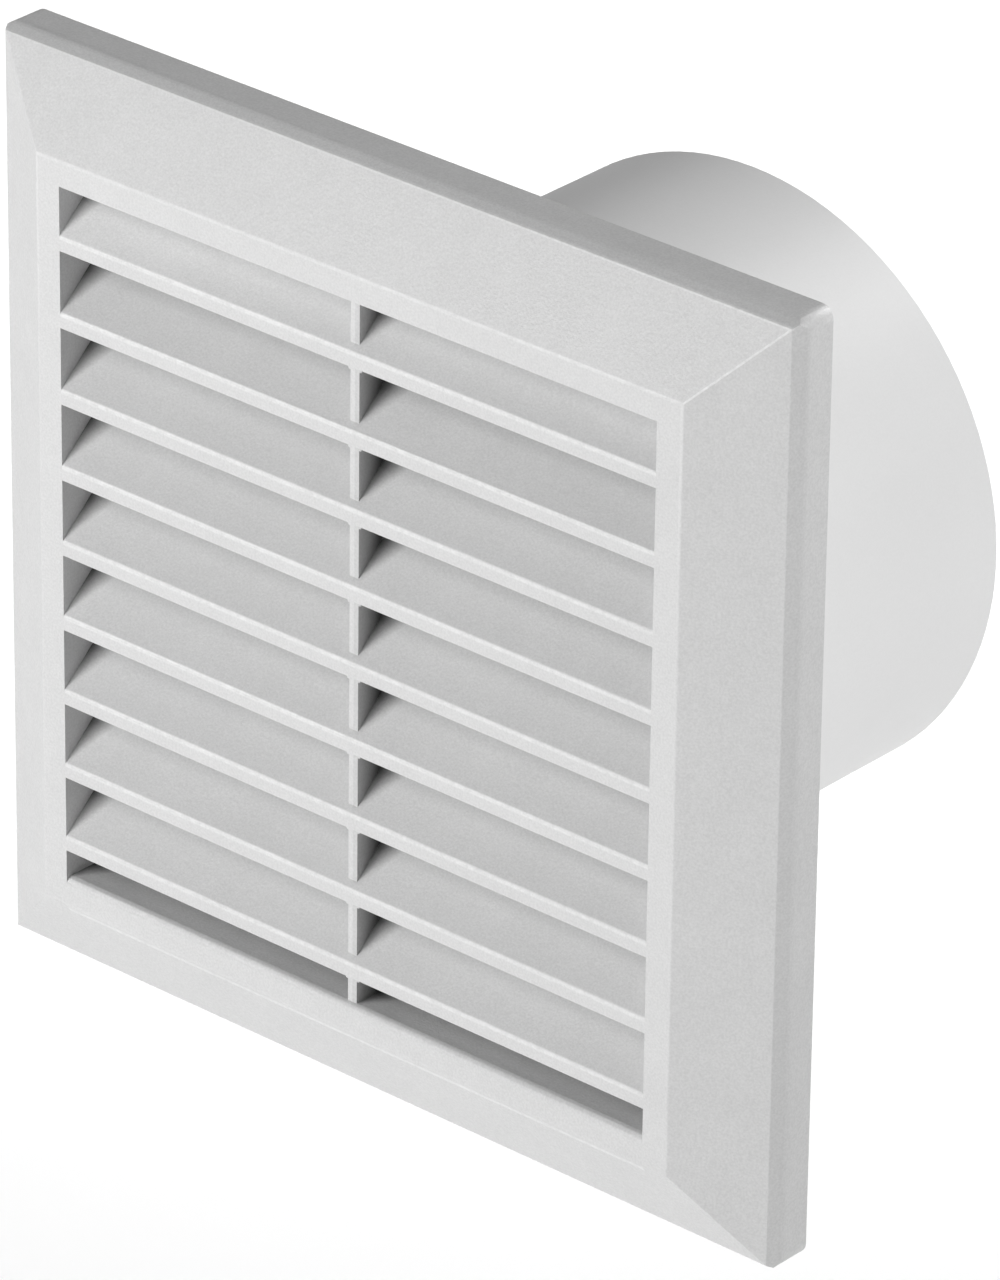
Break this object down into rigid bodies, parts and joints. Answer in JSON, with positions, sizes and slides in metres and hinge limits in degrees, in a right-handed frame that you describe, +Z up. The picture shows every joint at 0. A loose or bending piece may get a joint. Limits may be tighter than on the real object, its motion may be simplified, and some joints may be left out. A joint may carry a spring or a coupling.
{
  "type": "bathroom extractor fan",
  "caption": "White axial extractor fan with a square louvred cover, bevelled rim, motor on a cross bracket and a plain round duct spigot.",
  "frame": {"origin": "on the duct axis, in the wall plane: the plane of the wall plate's back face and the cover's rear edge", "axes": "+Z up; +Y along the duct into the wall; the louvre faces -Y; +X to the right seen from the room"},
  "size_m": [0.15, 0.0878, 0.15],
  "materials": {
    "cover_abs": "satin white ABS",
    "housing_abs": "smooth white ABS",
    "bracket_plastic": "fine texture, off-white",
    "impeller_plastic": "satin white",
    "zinc_steel": "bright zinc plating",
    "laminations": "stacked sheet, varnished",
    "bobbin_nylon": "natural nylon",
    "copper_wire": "enamelled copper wire",
    "copper": "bare copper",
    "bridge_steel": "pressed zinc-plated sheet",
    "bronze": "sintered bronze, oiled",
    "cage_aluminium": "as cast",
    "shaft_steel": "ground",
    "washer_nylon": "brown laminate",
    "terminal_nylon": "natural nylon",
    "terminal_brass": "nickel-free brass",
    "grommet_rubber": "matt black rubber",
    "fuse_body": "dark sleeve",
    "wire_brown": "brown PVC",
    "wire_blue": "blue PVC",
    "clamp_plastic": "white nylon"
  },
  "bodies": {
    "housing": {"base_plate": "housing_abs", "motor_bracket": "bracket_plastic", "bracket_screws": "zinc_steel", "motor_cap": "bracket_plastic", "cap_screws": "zinc_steel", "stator_core": "laminations", "coil_bobbins": "bobbin_nylon", "windings": "copper_wire", "shading_rings": "copper", "front_bearing_plate": "bridge_steel", "rear_bearing_plate": "bridge_steel", "front_bearing": "bronze", "rear_bearing": "bronze", "motor_bolts": "zinc_steel", "motor_nuts": "zinc_steel", "thermal_fuse": "fuse_body", "terminal_block": "terminal_nylon", "terminal_clamps": "terminal_brass", "terminal_screws": "zinc_steel", "terminal_fixing_screw": "zinc_steel", "cable_grommet": "grommet_rubber", "cord_clamp": "clamp_plastic", "cord_clamp_screws": "zinc_steel", "lead_live": "wire_brown", "lead_neutral": "wire_blue"},
    "rotor": {"rotor_core": "laminations", "rotor_end_rings": "cage_aluminium", "shaft": "shaft_steel", "thrust_washers": "washer_nylon", "impeller": "impeller_plastic", "impeller_clip": "shaft_steel"},
    "cover": {"front_grille": "cover_abs"}
  },
  "joints": [
    {"name": "fan_spin", "type": "hinge", "parent": "housing", "child": "rotor", "pos_m": [0, 0.016, 0], "axis": [0, 1, 0], "continuous": true},
    {"name": "cover_pull", "type": "slide", "parent": "housing", "child": "cover", "axis": [0, -1, 0], "range_m": [0, 0.05]}
  ]
}
